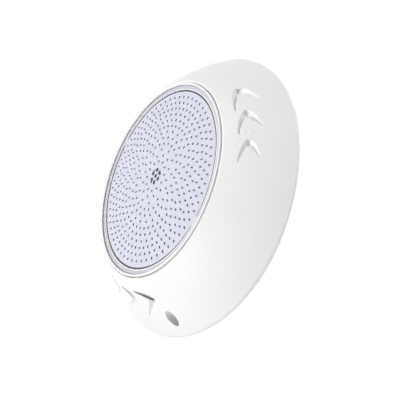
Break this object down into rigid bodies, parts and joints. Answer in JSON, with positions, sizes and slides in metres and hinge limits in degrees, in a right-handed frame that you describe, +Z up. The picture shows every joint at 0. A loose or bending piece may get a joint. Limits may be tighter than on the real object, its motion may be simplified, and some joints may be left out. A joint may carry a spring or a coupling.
{
  "type": "underwater pool light",
  "caption": "Round white surface-mounted pool light with a clear lens over a ringed LED board, arrow-shaped recesses in its domed cover and a twist-lock wall bracket.",
  "frame": {"origin": "centre of the circle of wall holes, on the wall face of the bracket", "axes": "+Y into the wall, the light faces -Y, +Z up, with the lock screw at the bottom"},
  "size_m": [0.26, 0.0474, 0.26],
  "materials": {
    "bracket_plastic": "white moulded plastic, fine texture",
    "cover_plastic": "white UV-resistant plastic, satin gloss",
    "housing_plastic": "white moulded plastic",
    "lens_clear": "clear moulded polycarbonate",
    "gasket_grey": "grey translucent silicone",
    "board_white": "white solder mask on aluminium",
    "led_chip": "small surface-mount packages",
    "solder": "dull tinned solder",
    "rubber_black": "black rubber",
    "board_green": "green circuit board",
    "component_dark": "black moulded packages",
    "ferrite": "wound ferrite core",
    "nickel": "nickel-plated brass",
    "brass": "turned brass",
    "stainless": "stainless steel"
  },
  "bodies": {
    "bracket": {"wall_bracket": "bracket_plastic"},
    "lamp": {"front_cover": "cover_plastic", "cover_screws": "stainless", "lamp_housing": "housing_plastic", "lens": "lens_clear", "lens_ring": "cover_plastic", "lens_gasket": "gasket_grey", "led_board": "board_white", "leds": "led_chip", "solder_joints": "solder", "led_leads": "solder", "board_seal": "rubber_black", "driver_board": "board_green", "driver_screws": "stainless", "driver_capacitors": "component_dark", "driver_inductor": "ferrite", "driver_rectifier": "component_dark", "driver_chip": "component_dark", "gland_body": "nickel", "gland_washer": "rubber_black", "gland_locknut": "nickel", "gland_seal": "rubber_black", "gland_cap": "nickel", "lock_insert": "brass"},
    "locking_screw": {"lock_screw": "stainless", "lock_washer": "stainless"}
  },
  "joints": [
    {"name": "lamp_twist", "type": "hinge", "parent": "bracket", "child": "lamp", "pos_m": [0, 0, 0], "axis": [0, -1, 0], "range_deg": [0, 26]},
    {"name": "lock_screw_travel", "type": "slide", "parent": "lamp", "child": "locking_screw", "axis": [0, -1, 0], "range_m": [0, 0.004]}
  ]
}
